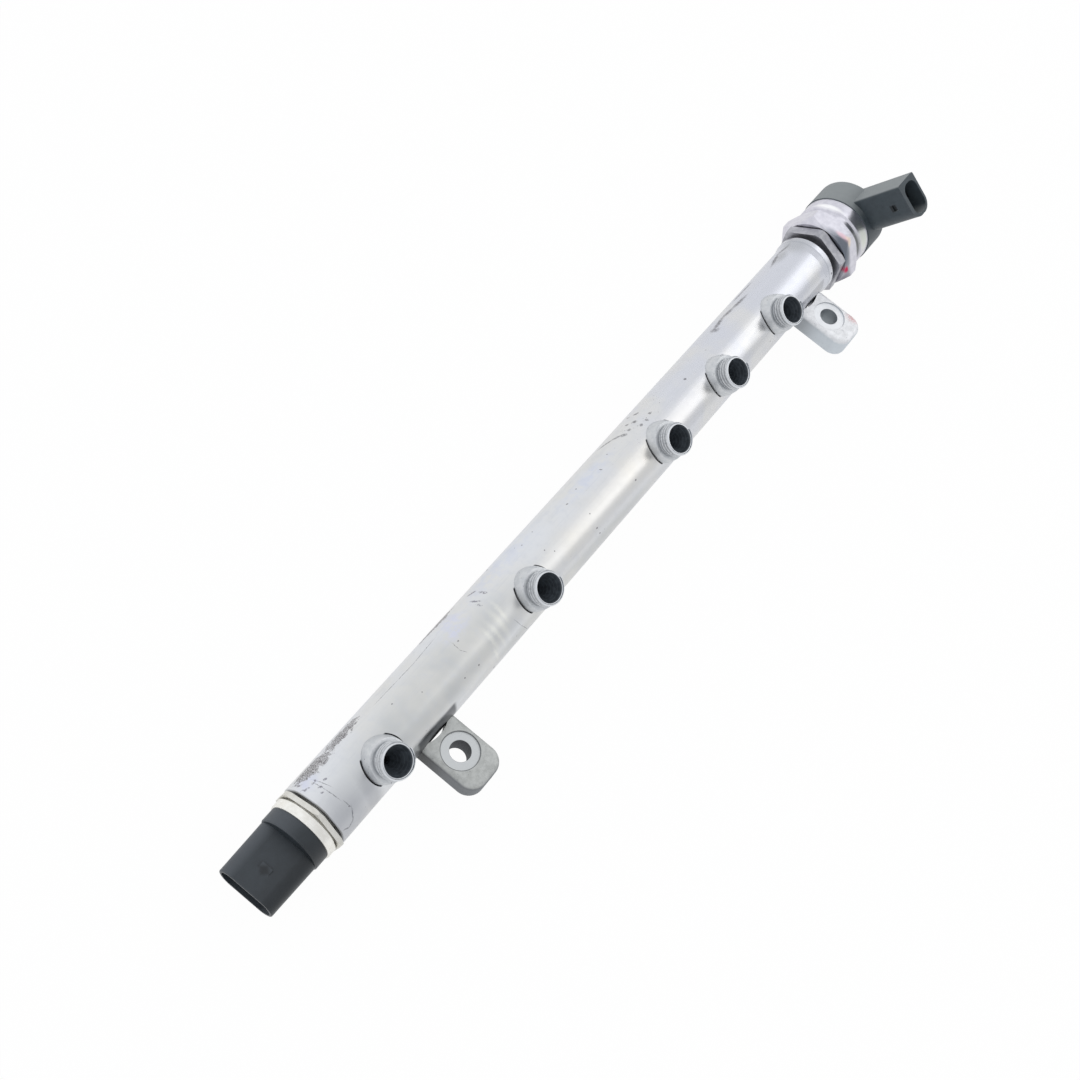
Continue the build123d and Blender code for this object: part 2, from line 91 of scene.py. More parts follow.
def middle(node):
    low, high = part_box(node)
    return (low + high) / 2


low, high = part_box("rail_tube")
TUBE_LENGTH = high.x - low.x
print("tube length", round(TUBE_LENGTH, 4), "near ear at x", round(middle("near_bracket").x, 4))

# %% [markdown]
# ## Shader sums
#
# A material is a small calculation: where is this point, how worn is it there, what colour does
# that give. Written as node boxes it is hard to read, so one class wraps a node's output and lets
# Python's own signs add the Math nodes. `1 - mask` then means what it says.

# %% A socket that can be used in sums
class Wire:
    """An output of a node, used like a number in an expression."""

    def __init__(self, recipe, socket):
        self.recipe = recipe
        self.socket = socket

    def sum(self, operation, first, second=None):
        inputs = {0: first} if second is None else {0: first, 1: second}
        return self.recipe.node("Math", {"operation": operation}, inputs)

    def __add__(self, other):
        return self.sum("ADD", self, other)

    def __sub__(self, other):
        return self.sum("SUBTRACT", self, other)

    def __mul__(self, other):
        return self.sum("MULTIPLY", self, other)

    def __rsub__(self, other):
        return self.sum("SUBTRACT", other, self)

    def __neg__(self):
        return self * -1.0

    def __abs__(self):
        return self.sum("ABSOLUTE", self)

    __radd__ = __add__
    __rmul__ = __mul__


def larger(first, second):
    return first.sum("MAXIMUM", first, second)


def sine(wire):
    return wire.sum("SINE", wire)


print("sums ready")

# %% [markdown]
# A recipe is one material. Its `node` method makes any node: the settings are set first, because
# they can change which sockets a node has, and then the sockets get their values or wires. The
# smaller methods are the steps that nearly every metal needs.

# %% A material as a recipe
class Recipe:
    """A material whose nodes are added by calls."""

    def __init__(self, name):
        self.material = bpy.data.materials.new(name)
        self.material.use_nodes = True
        self.tree = self.material.node_tree
        self.tree.nodes.clear()
        self.shader = self.tree.nodes.new("ShaderNodeBsdfPrincipled")
        output = self.tree.nodes.new("ShaderNodeOutputMaterial")
        self.tree.links.new(self.shader.outputs[0], output.inputs["Surface"])
        self.point = self.node("TexCoord", out="Object")
        self.mm = self.place(self.point, size=(1000, 1000, 1000))

    def put(self, socket, value):
        if isinstance(value, Wire):
            self.tree.links.new(value.socket, socket)
        else:
            socket.default_value = value

    def node(self, kind, settings=None, inputs=None, out=0):
        made = self.tree.nodes.new("ShaderNode" + kind)
        for key, value in (settings or {}).items():
            setattr(made, key, value)
        for key, value in (inputs or {}).items():
            self.put(made.inputs[key], value)
        return Wire(self, made.outputs[out])

    def finish(self, **sockets):
        for key, value in sockets.items():
            self.put(self.shader.inputs[key.replace("_", " ")], value)
        print("finish", self.material.name, "uses", len(self.tree.nodes), "nodes")
        return self.material

    def noise(self, scale, detail=2.0, roughness=0.5, vector=None):
        """Noise with its scale in bumps a millimetre."""
        return self.node("TexNoise", None, {"Vector": vector or self.mm, "Scale": scale,
                                            "Detail": detail, "Roughness": roughness})

    def cells(self, scale):
        """Distance to the nearest of many scattered points, for specks and pores."""
        return self.node("TexVoronoi", None, {"Vector": self.mm, "Scale": scale})

    def ramp(self, value, low, high):
        """0 at low, 1 at high, and a smooth step between; low may be the larger."""
        return self.node("MapRange", {"interpolation_type": "SMOOTHSTEP"},
                         {"Value": value, "From Min": low, "From Max": high})

    def blend(self, amount, first, second):
        return self.node("Mix", {"data_type": "RGBA"}, {0: amount, 6: first, 7: second}, 2)

    def place(self, vector, size=(1, 1, 1), shift=(0, 0, 0)):
        return self.node("Mapping", None, {"Vector": vector, "Location": shift, "Scale": size})

    def within(self, vector, centre, turn, size):
        """The vector seen from a centre, turned back and measured in sizes."""
        return self.node("Mapping", {"vector_type": "TEXTURE"},
                         {"Vector": vector, "Location": centre, "Rotation": turn, "Scale": size})

    def parts(self, vector):
        return [self.node("SeparateXYZ", None, {0: vector}, out) for out in range(3)]

    def join(self, x, y, z):
        return self.node("CombineXYZ", None, {0: x, 1: y, 2: z})

    def dot(self, vector, direction):
        return self.node("VectorMath", {"operation": "DOT_PRODUCT"},
                         {0: vector, 1: tuple(direction)}, "Value")

    def length(self, vector):
        return self.node("VectorMath", {"operation": "LENGTH"}, {0: vector}, "Value")

    def facing(self, direction):
        """How far the surface faces a fixed direction of the rail: 1 straight at it."""
        return self.dot(self.node("TexCoord", out="Normal"), Vector(direction).normalized())

    def bump(self, height, millimetres):
        return self.node("Bump", None, {"Height": height, "Distance": millimetres * MM})


def tint(red, green, blue):
    """A colour as read from a picture, 0 to 255, turned into light values."""
    channels = [value / 255 for value in (red, green, blue)]
    light = [c / 12.92 if c <= 0.04045 else ((c + 0.055) / 1.055) ** 2.4 for c in channels]
    return (*light, 1.0)


def dress(material, *names):
    """Put the material on the named solids."""
    for name in names:
        slots = nodes[name].data.materials
        slots.clear()
        slots.append(material)
    print(material.name, "on", ", ".join(names))


print("pale zinc as light", [round(c, 3) for c in tint(205, 208, 212)])

# %% [markdown]
# ## Marks on the tube
#
# Years beside an engine leave a tube with rubbed patches, chips, scratches and stains, each in its
# own place. They could be painted on a flat map. Here each is an ellipse in coordinates that unroll
# the tube: the station along it and the arc length round it, both in millimetres, with arc zero on
# the crest and plus towards the ears. A little noise is added to the coordinates first, so that no
# edge is smooth. The same ellipses also lay painted shade, a warm tint painted where the highlight
# falls, and cream patches that are partly a painted highlight.

# %% Unrolled coordinates and marks on them
def unroll(recipe):
    """Station and arc length in millimetres."""
    x, y, z = recipe.parts(recipe.place(recipe.point, shift=tuple(-AXIS)))
    turn = recipe.node("Math", {"operation": "ARCTAN2"}, {0: -y, 1: z})
    return x * 1000.0, turn * (TUBE_RADIUS * 1000)


def mark(recipe, flat, station, arc, half_length, half_width, angle=0.0, edge=0.5):
    """A soft ellipse, 1 inside, whose edge takes up the given share of its size."""
    turn = radians(angle)
    along = Vector((cos(turn), sin(turn), 0)) / half_length
    across = Vector((-sin(turn), cos(turn), 0)) / half_width
    centre = Vector((station, arc, 0))
    local = recipe.join(recipe.dot(flat, along), recipe.dot(flat, across), 0.0)
    away = recipe.node("VectorMath", {"operation": "DISTANCE"},
                       {0: local, 1: (along.dot(centre), across.dot(centre), 0)}, "Value")
    return recipe.ramp(away, 1.0 + edge * 0.5, 1.0 - edge * 0.5)


def marks(recipe, flat, places, edge=0.5):
    """Several marks in one mask."""
    mask = None
    for place in places:
        one = mark(recipe, flat, *place, edge=edge)
        mask = one if mask is None else larger(mask, one)
    return mask


def stroke(half_width, *points):
    """A crooked line as a chain of long marks through (station, arc) points."""
    chain = []
    for (x, y), (x_end, y_end) in zip(points, points[1:]):
        length = hypot(x_end - x, y_end - y)
        turn = degrees(atan2(y_end - y, x_end - x))
        chain.append(((x + x_end) / 2, (y + y_end) / 2, length * 0.56, half_width, turn))
    return tuple(chain)


# Each mark is its station, arc, half length, half width and angle, in millimetres and degrees
RUBBED = ((26.5, -13.6, 8.5, 3.0, 3), (11.0, -12.8, 9.0, 3.6, 6), (84.0, -17.5, 9.0, 2.2, 4))
CHIPS = ((2.5, -11.4, 1.0, 0.5, 40), (1.6, -8.1, 0.7, 0.5, 70), (2.8, -7.4, 0.9, 0.4, 20),
         (6.2, -7.2, 1.2, 0.5, -15), (5.9, -4.1, 0.6, 0.5, 5), (9.2, -4.7, 0.6, 0.4, 8),
         (4.6, -2.1, 0.5, 0.4, 0), (99.0, -8.0, 2.0, 0.5, 60), (104.0, -8.0, 1.8, 0.6, 75),
         (98.2, -5.6, 1.2, 0.4, 75), (102.0, -12.6, 1.8, 0.5, 30))
SCRATCHES = (stroke(0.11, (6.8, -7.8), (8.2, -1.7))
             + stroke(0.13, (5.9, -6.9), (6.3, -1.8), (6.9, 3.7))
             + stroke(0.12, (7.7, 5.5), (8.2, 9.4))
             + stroke(0.26, (8.2, 9.4), (6.2, 13.8), (3.6, 15.0), (1.4, 13.7))
             + stroke(0.13, (44.0, -10.7), (54.4, -10.3), (63.9, -10.0), (75.5, -10.6))
             + stroke(0.10, (78.9, -3.3), (78.6, 0.7), (79.7, 2.8))
             + stroke(0.10, (103.8, 9.1), (105.2, 13.1), (108.6, 19.5)))
SPOTS = ((81.0, -2.1, 0.35, 0.3, 0), (80.5, 10.3, 0.4, 0.35, 0), (56.4, 0.5, 0.25, 0.25, 0),
         (87.1, 19.1, 0.5, 0.4, 0), (72.6, 9.3, 0.3, 0.3, 0), (45.9, -4.9, 0.3, 0.3, 0),
         (157.2, -6.5, 0.5, 0.3, 30), (165.8, -8.2, 0.35, 0.3, 0), (158.3, 9.6, 0.5, 0.35, 0),
         (158.6, 12.5, 0.4, 0.3, 0), (116.1, -17.2, 0.4, 0.4, 0), (179.5, -5.6, 0.6, 0.25, 60),
         (187.0, 8.4, 0.5, 0.4, 0), (241.4, -4.6, 0.7, 0.5, 20), (346.0, 14.5, 0.4, 0.6, 0))
PITS = ((204.2, -8.4, 0.9, 0.6, 20), (209.3, -9.3, 1.0, 0.8, 60), (214.4, -11.9, 1.1, 0.6, 40),
        (208.9, -5.6, 0.8, 0.7, 0), (212.7, -5.0, 0.9, 0.6, 70), (216.7, -6.2, 0.7, 0.5, 0),
        (211.7, -1.9, 0.8, 0.5, 30), (211.9, -14.7, 0.7, 0.6, 0), (206.8, -11.4, 0.6, 0.5, 0))
PITTED = (213.0, -8.0, 15.0, 7.0, -14)
SMEARS = (stroke(0.5, (191.0, -15.2), (196.7, -12.1), (199.7, -9.9), (201.2, -8.4))
          + stroke(0.9, (274.5, -10.9), (284.1, -12.6), (291.7, -11.5), (300.7, -10.6))
          + stroke(0.7, (298.5, -15.7), (305.2, -15.5), (311.3, -14.9))
          + stroke(0.8, (325.8, -11.5), (335.5, -14.3), (341.6, -12.3))
          + ((200.6, -8.7, 1.3, 0.8, 40), (274.8, -10.6, 1.8, 1.4, 60)))
# Cream patches: partly the passivate's straw film, partly a painted highlight
CREAM_FILM_AND_HIGHLIGHT = ((101.5, 2.4, 0.8, 4.5, 6), (98.2, 6.0, 1.1, 5.8, 0), (94.4, 7.6, 0.8, 5.0, -4),
         (90.9, 7.2, 0.8, 4.4, 0), (89.6, 13.2, 0.7, 2.6, 0))
LILAC = ((4.6, -9.6, 3.8, 3.0, 30), (86.5, -9.5, 4.6, 5.0, 0), (84.0, -6.0, 6.0, 3.0, 0))
BLUE = ((172.0, -7.6, 16.0, 2.8, 0), (118.0, -12.0, 22.0, 5.0, 0))
# Painted shade near both ends of the tube, one patch below the first port
PAINTED_SHADE_PATCHES = ((5.0, 15.0, 11.0, 12.5, 0), (17.0, 14.5, 4.0, 9.5, 0), (343.0, -9.0, 5.5, 6.5, 0),
       (333.0, -11.0, 5.0, 2.4, 0))
# Painted shade that dims the near crest and the lower flank
PAINTED_SHADE_BANDS = ((64.0, 3.0, 50.0, 11.0, 0), (142.0, 17.5, 66.0, 4.5, 0))
# A warm tint painted where the lamps' highlight falls on the crest
PAINTED_WARM_HIGHLIGHT = ((178.0, 5.0, 66.0, 5.5, 0),)
ALL_MARKS = (RUBBED, CHIPS, SCRATCHES, SPOTS, PITS, SMEARS, CREAM_FILM_AND_HIGHLIGHT, LILAC, BLUE, PAINTED_SHADE_PATCHES, PAINTED_SHADE_BANDS, PAINTED_WARM_HIGHLIGHT)
print("marks on the tube:", sum(map(len, ALL_MARKS)))

# %% [markdown]
# ## Zinc plate on the tube
#
# Zinc is plated from a bath and then dipped in a clear passivate, which dries as a film a fraction
# of a thousandth of a millimetre thick. The film makes the faint lilac and straw colours, and the
# drawn steel under it leaves soft streaks along the tube. The rubs change colour, roughness and
# height together, because a rub that only changed the colour would look like paint. Painted shade
# darkens the pockets round the ports, the tube beside the ears and a line at the collar's edge.

# %% Zinc, its film, its wear and painted shade
POCKET_RADIUS = 9.45
# How strong the painted shadow beside each ear is
PAINTED_EAR_SHADOWS = (("near_bracket", 0.8), ("far_bracket", 0.3))


def port_distance(recipe, station):
    """Distance from a port's axis, and height along it, in millimetres."""
    foot = AXIS + Vector((station, 0, 0))
    local = recipe.within(recipe.point, tuple(foot), (LEAN, 0, 0), (MM, MM, MM))
    x, y, z = recipe.parts(local)
    return recipe.length(recipe.join(x, y, 0.0)), z


def zinc_tube():
    r = Recipe("worn_zinc_tube")
    station, arc = unroll(r)
    ragged = r.noise(0.9, 3.0, 0.6)
    flat = r.join(station + (ragged - 0.5) * 2.2, arc + (ragged - 0.5) * 1.6, 0.0)
    clean_flat = r.join(station + (ragged - 0.5) * 0.6, arc + (ragged - 0.5) * 0.6, 0.0)
    clouds = r.noise(0.035, 3.0, 0.6)
    mottle = r.noise(0.3, 4.0, 0.6)
    streaks = r.noise(1.0, 4.0, 0.55, r.join(station * 0.05, arc * 0.9, 0.0))
    grain = r.noise(4.0, 2.0)

    far = r.ramp(station, 130.0, 290.0)
    base = r.blend(far, tint(222, 224, 227), tint(210, 212, 219))
    # Painted shade: the near crest and the lower flank are dimmed
    base = r.blend(marks(r, flat, PAINTED_SHADE_BANDS, edge=0.9) * 0.8, base, tint(196, 198, 197))
    base = r.blend(r.ramp(clouds, 0.42, 0.62) * 0.6, base, tint(222, 221, 217))
    base = r.blend(r.ramp(mottle, 0.45, 0.75) * 0.35, base, tint(204, 207, 213))
    base = r.blend(r.ramp(streaks, 0.52, 0.8) * 0.3, base, tint(196, 199, 204))
    veil = r.ramp(mottle, 0.3, 0.6)
    base = r.blend(marks(r, flat, BLUE, edge=1.3) * veil * 0.4, base, tint(206, 213, 232))
    base = r.blend(marks(r, flat, LILAC, edge=1.5) * veil * 0.55, base, tint(212, 216, 238))
    # Cream patches, partly the passivate's film and partly a painted highlight
    base = r.blend(marks(r, flat, CREAM_FILM_AND_HIGHLIGHT, edge=2.0) * 0.45, base, tint(240, 240, 232))
    # Painted shade near both ends of the tube and below the first port
    base = r.blend(marks(r, flat, PAINTED_SHADE_PATCHES, edge=1.3) * 0.75, base, tint(178, 180, 184))
    # A warm tint painted along the crest where the lamps' highlight falls
    base = r.blend(marks(r, flat, PAINTED_WARM_HIGHLIGHT, edge=1.5) * 0.5, base, tint(226, 222, 213))

    speckle = r.ramp(r.noise(2.2, 3.0, 0.7), 0.42, 0.58)
    torn = r.ramp(r.noise(1.3, 3.0, 0.7), 0.38, 0.56)
    worn_edge = (r.noise(0.5, 4.0, 0.7) - 0.5) * 2.2
    rubbed = r.ramp(marks(r, flat, RUBBED, edge=1.5) + worn_edge, 0.45, 0.7)
    rubbed = rubbed * (0.5 + speckle * 0.5)
    base = r.blend(rubbed, base, r.blend(speckle, tint(178, 176, 178), tint(122, 120, 122)))
    smears = marks(r, flat, SMEARS, edge=1.2) * (0.5 + torn * 0.5)
    base = r.blend(smears * 0.8, base, tint(108, 107, 111))
    chips = marks(r, flat, CHIPS, edge=0.7) * torn
    base = r.blend(chips * 0.8, base, tint(120, 118, 128))
    lines = marks(r, clean_flat, SCRATCHES, edge=1.2) * (0.3 + torn * 0.7)
    base = r.blend(lines * 0.8, base, tint(92, 94, 100))
    pits_here = mark(r, flat, *PITTED, edge=0.9)
    pits = r.ramp(r.cells(0.7), 0.2, 0.1) * r.ramp(r.noise(0.22, 2.0), 0.5, 0.6) * pits_here
    rare = r.ramp(r.cells(0.17), 0.06, 0.035) * r.ramp(r.noise(0.05, 1.0), 0.45, 0.6)
    spots = larger(marks(r, clean_flat, SPOTS, edge=0.8), larger(pits, rare))
    spots = larger(spots, marks(r, flat, PITS, edge=0.8) * (0.4 + torn * 0.6))
    base = r.blend(spots * 0.75, base, tint(96, 94, 98))

    # Painted shade in the pocket round each port's foot
    pocket_shade = None
    for place in PORT_STATIONS:
        distance, height = port_distance(r, place)
        inside = r.ramp(distance, POCKET_RADIUS + 0.07, POCKET_RADIUS - 0.07)
        inside = inside * r.ramp(height, 12.0, 12.3)
        pocket_shade = inside if pocket_shade is None else larger(pocket_shade, inside)
    base = r.blend(pocket_shade, base, tint(34, 36, 40))
    # Painted shadow on the tube's underside beside each ear, stronger at the near ear
    for ear, strength in PAINTED_EAR_SHADOWS:
        centre = (middle(ear).x - AXIS.x) / MM
        half = (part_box(ear)[1].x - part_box(ear)[0].x) / MM / 2
        beside = r.ramp(abs(station - centre), half + 2.2, half + 0.3)
        below = r.ramp(arc, 13.0, 14.5) * r.ramp(arc, 28.0, 24.0)
        base = r.blend(beside * below * strength, base, tint(72, 74, 80))
    length = TUBE_LENGTH / MM
    # A painted dark line stands for the shade at the collar's edge
    turned = r.ramp(abs(station - (length - COLLAR_LENGTH)), 0.7, 0.15)
    base = r.blend(turned * 0.35, base, tint(160, 164, 172))
    ends = larger(r.ramp(station, 0.5, 0.05), r.ramp(station, length - 0.2, length))
    base = r.blend(ends * 0.6, base, tint(120, 122, 126))

    dull = 0.26 - far * 0.03 + mottle * 0.08 + rubbed * 0.25 + smears * 0.1
    height = streaks * 0.3 + grain * 0.06 + mottle * 0.6 - rubbed * 0.8 - spots * 1.5
    return r.finish(Base_Color=base, Metallic=1.0, Roughness=dull, Normal=r.bump(height, 0.03))


dress(zinc_tube(), "rail_tube")

# %% [markdown]
# ## Threaded ports
#
# Each port is a nipple with a thread for the pipe's union nut, and a cone inside on which the pipe
# seals. The solid has a plain cylinder for the thread. Here the port is turned again, by spinning a
# half outline once round the port's axis, and the thread is a second spin: one tooth's outline goes
# round three times and climbs a little at each step, which the spin's own offset does. The
# tooth's root is sunk in the barrel, so the two shells need no cutting.

# %% Half outline of a port, as radius and height in millimetres
PORT_TIP = 22.8
THREAD_TOP = 22.2
THREAD_FOOT = 17.6
SHOULDER = 17.1
CREST = 7.0
ROOT = 6.45
PORT_OUTLINE = (
    (1.5, 11.2), (6.0, 11.2), (6.0, 9.8), (8.9, 9.8), (8.9, 13.6), (8.25, 16.6), (8.1, 16.95),
    (7.75, SHOULDER), (6.3, SHOULDER), (6.2, 17.25), (ROOT, THREAD_FOOT), (ROOT, THREAD_TOP - 0.1),
    (6.3, 22.55), (6.2, PORT_TIP), (5.95, PORT_TIP), (5.85, 22.68), (5.85, 22.3),
    (1.5, 14.77),
)
PITCH = 1.5
TURNS = 3
AROUND = 64
SHARP_ANGLE = 32


def closed(mesh):
    return not any(len(edge.link_faces) != 2 for edge in mesh.edges)


def spin_outline(points):
    """A closed shell turned once about Z from (radius, height) corners."""
    mesh = bmesh.new()
    corners = [mesh.verts.new((radius * MM, 0, height * MM)) for radius, height in points]
    edges = [mesh.edges.new(pair) for pair in zip(corners, corners[1:] + corners[:1])]
    bmesh.ops.spin(mesh, geom=corners + edges, cent=(0, 0, 0), axis=(0, 0, 1), dvec=(0, 0, 0),
                   angle=2 * pi, steps=AROUND, use_merge=True, use_duplicate=False)
    bmesh.ops.remove_doubles(mesh, verts=mesh.verts, dist=1e-7)
    bmesh.ops.recalc_face_normals(mesh, faces=mesh.faces)
    return mesh


def spin_thread():
    """One tooth carried up the barrel in a helix, closed at both ends."""
    mesh = bmesh.new()
    foot = THREAD_FOOT + 0.1
    tooth = ((ROOT - 0.08, foot - 0.1), (CREST, foot + 0.45), (CREST, foot + 0.65),
             (ROOT - 0.08, foot + 1.2))
    corners = [mesh.verts.new((radius * MM, 0, height * MM)) for radius, height in tooth]
    face = mesh.faces.new(corners)
    climb = PITCH * MM / AROUND
    bmesh.ops.spin(mesh, geom=[face] + face.edges[:] + corners, cent=(0, 0, 0), axis=(0, 0, 1),
                   dvec=(0, 0, climb), angle=2 * pi * TURNS, steps=AROUND * TURNS,
                   use_merge=False, use_duplicate=False)
    bmesh.ops.recalc_face_normals(mesh, faces=mesh.faces)
    return mesh


for name, mesh in (("barrel", spin_outline(PORT_OUTLINE)), ("thread", spin_thread())):
    print(name, len(mesh.faces), "faces, closed:", closed(mesh))
    mesh.free()

# %% [markdown]
# A port's plating is dull outside. Its inside is painted near black as the shade of the deep bore,
# with lighter rings on the seat cone painted as reflections. The rim between the two is bare,
# because the pipe's cone rubs it at every fitting, and its lighter colour is partly a painted
# highlight. Both follow the distance from the port's own axis, so each port has its material turned
# to its own place.

# %% Zinc outside, painted shade inside
def zinc_port(number, station):
    r = Recipe(f"port_zinc_{number}")
    distance, height = port_distance(r, station)
    mottle = r.noise(0.5, 4.0, 0.6)
    grime = r.noise(1.1, 3.0, 0.65)
    base = r.blend(r.ramp(mottle, 0.35, 0.65), tint(212, 214, 216), tint(202, 205, 208))
    barrel = r.ramp(height, 17.4, 17.7) * r.ramp(height, THREAD_TOP + 0.1, THREAD_TOP - 0.2)
    base = r.blend(barrel * r.ramp(grime, 0.42, 0.7) * 0.6, base, tint(152, 155, 160))
    # The thread's roots are painted darker
    valley = r.ramp(distance, 6.9, 6.5) * barrel
    base = r.blend(valley * 0.55, base, tint(120, 123, 128))
    # The rim: bare, rubbed metal, lighter also as a painted highlight
    rim = r.ramp(height, 22.1, 22.5)
    base = r.blend(rim * 0.8, base, tint(226, 229, 233))
    # The bore, painted near black as shade
    bore_shade = r.ramp(distance, 5.93, 5.8)
    rings = r.ramp(sine(height * 5.2), 0.8, 1.0) * r.ramp(height, 13.0, 16.0)
    black = r.blend(r.ramp(mottle, 0.4, 0.6), tint(54, 60, 66), tint(70, 77, 84))
    base = r.blend(bore_shade, base, black)
    # Lighter rings on the seat cone, painted reflections
    base = r.blend(bore_shade * rings * 0.35, base, tint(112, 118, 124))
    specks = r.ramp(r.cells(0.6), 0.16, 0.09) * r.ramp(grime, 0.45, 0.6) * (1 - bore_shade)
    base = r.blend(specks * 0.8, base, tint(84, 86, 92))
    dull = 0.42 + mottle * 0.12 - rim * 0.14
    wear = mottle * 0.6 + grime * 0.3 - specks
    return r.finish(Base_Color=base, Metallic=1.0 - bore_shade * 0.85, Roughness=dull,
                    Normal=r.bump(wear, 0.02))


def shell_object(name, whole, turn, material):
    """The shell, turned to its place, as a smooth object that keeps its sharp edges."""
    bmesh.ops.transform(whole, matrix=turn, verts=whole.verts)
    part = bpy.data.meshes.new(name)
    whole.to_mesh(part)
    whole.free()
    part.materials.append(material)
    part.shade_smooth()
    part.set_sharp_from_angle(angle=radians(SHARP_ANGLE))
    thing = bpy.data.objects.new(name, part)
    bpy.context.scene.collection.objects.link(thing)
    return thing


def make_port(number, station):
    """The turned nipple with its thread, in place of the plain solid."""
    whole = spin_outline(PORT_OUTLINE)
    thread = spin_thread()
    carried = bpy.data.meshes.new("thread")
    thread.to_mesh(carried)
    whole.from_mesh(carried)
    thread.free()
    bpy.data.meshes.remove(carried)
    turn = Matrix.Translation(AXIS + Vector((station, 0, 0))) @ Matrix.Rotation(LEAN, 4, "X")
    port = shell_object(f"threaded_port_{number}", whole, turn, zinc_port(number, station))
    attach(port, "rail")
    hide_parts(f"port_{number}")
    print(port.name, "has", len(port.data.polygons), "faces")


for number, station in enumerate(PORT_STATIONS, start=1):
    make_port(number, station)

# %% [markdown]
# ## Ears
#
# The ears are forgings: their skin keeps the soft mottle of the die under the zinc. The round face
# under the bolt head is cut flat and bright, with the rings that a spot facing tool leaves. Their
# sides are painted darker than their tops as shade, darkest beside the tube, where a painted shadow
# falls. One function makes both ears. The near one's colours are painted darker as shade and the
# far one's lighter as painted light. Only one of them has the reddish stain at a corner: on the
# other its place is far off the ear.

# %% Forged and plated ears
SPOT_FACE_RADIUS = 7.5
HOLE_RADIUS = 4.2


def forged_zinc(name, node, top, face, side, corner, rim_shade, light_left_in_shadow):
    """Colours for top, cut face and the side painted as shade; the stain's corner; how dark the
    painted shade at the cut's rim is and how much of the side's light is left in the painted shadow
    beside the tube."""
    r = Recipe(name)
    centre = middle(node)
    ear_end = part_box(node)[0].y
    bolt = Vector((centre.x, ear_end + BOLT_TO_EAR_END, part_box(node)[1].z))
    x, y, z = r.parts(r.within(r.point, tuple(bolt), (0, 0, 0), (MM, MM, MM)))
    from_bolt = r.length(r.join(x, y, 0.0))
    mottle = r.noise(0.45, 4.0, 0.65)
    skin = r.noise(1.6, 4.0, 0.6)
    pores = r.ramp(r.cells(0.7), 0.2, 0.08) * r.ramp(mottle, 0.45, 0.6)
    base = r.blend(r.ramp(mottle, 0.35, 0.68), tint(*top), tint(*(c - 16 for c in top)))
    base = r.blend(r.ramp(skin, 0.5, 0.75) * 0.4, base, tint(*(min(c + 14, 255) for c in top)))
    # Painted shade: faces that do not look up take the side colour, darker still towards the tube
    # as a painted shadow
    side_shade_mask = r.ramp(r.facing((0, 0, 1)), 0.75, 0.25)
    tube_shadow_mask = r.ramp(y, -4.0, 10.0)
    shade = r.blend(tube_shadow_mask, tint(*side), tint(*(c * light_left_in_shadow for c in side)))
    base = r.blend(side_shade_mask * 0.85, base, shade)
    cut = r.ramp(from_bolt, SPOT_FACE_RADIUS, SPOT_FACE_RADIUS - 0.1)
    cut = cut * r.ramp(r.facing((0, 0, 1)), 0.8, 0.95)
    base = r.blend(cut * 0.9, base, tint(*face))
    # Painted shade in the bolt hole and at the step round the cut face
    hole = r.ramp(from_bolt, HOLE_RADIUS + 0.1, HOLE_RADIUS + 0.02)
    base = r.blend(hole, base, tint(*(c * 0.8 for c in side)))
    rim = r.ramp(abs(from_bolt - (SPOT_FACE_RADIUS + 0.12)), 0.22, 0.05)
    base = r.blend(rim * rim_shade, base, tint(*(c * 0.75 for c in side)))
    red = mark(r, r.join(x, y, 0.0), corner[0], corner[1], 2.4, 3.0, 20, edge=1.5)
    base = r.blend(red * r.ramp(skin, 0.35, 0.6) * 0.7, base, tint(212, 140, 136))
    base = r.blend(pores * (1 - cut) * 0.5, base, tint(*(c * 0.8 for c in side)))
    rings = sine(from_bolt * 14.0) * cut
    height = (mottle * 1.6 + skin * 0.8 - pores) * (1 - cut) + rings * 0.12
    dull = 0.56 + skin * 0.1 - cut * 0.18
    return r.finish(Base_Color=base, Metallic=1.0, Roughness=dull, Normal=r.bump(height, 0.07))


AWAY = (60.0, 60.0)
FAR_CORNER = (8.2, -9.0)
# The near ear's colours are painted darker as shade, the far ear's lighter as painted light
dress(forged_zinc("forged_zinc_near_shaded", "near_bracket", (197, 199, 197), (203, 206, 207),
                  (116, 119, 124), AWAY, 0.75, 0.45), "near_bracket")
dress(forged_zinc("forged_zinc_far_lit", "far_bracket", (240, 241, 243), (226, 228, 231),
                  (204, 211, 217), FAR_CORNER, 0.2, 0.75), "far_bracket")

# %% [markdown]
# ## Turned steel
#
# The sensor's hexagon and sleeve are stainless steel, and the valve's nut and housing are plated.
# A lathe leaves fine rings round the axis on all of them. The rings are a noise that runs along the
# axis only, so they circle the part; the hexagons' flats show them as faint lines across.

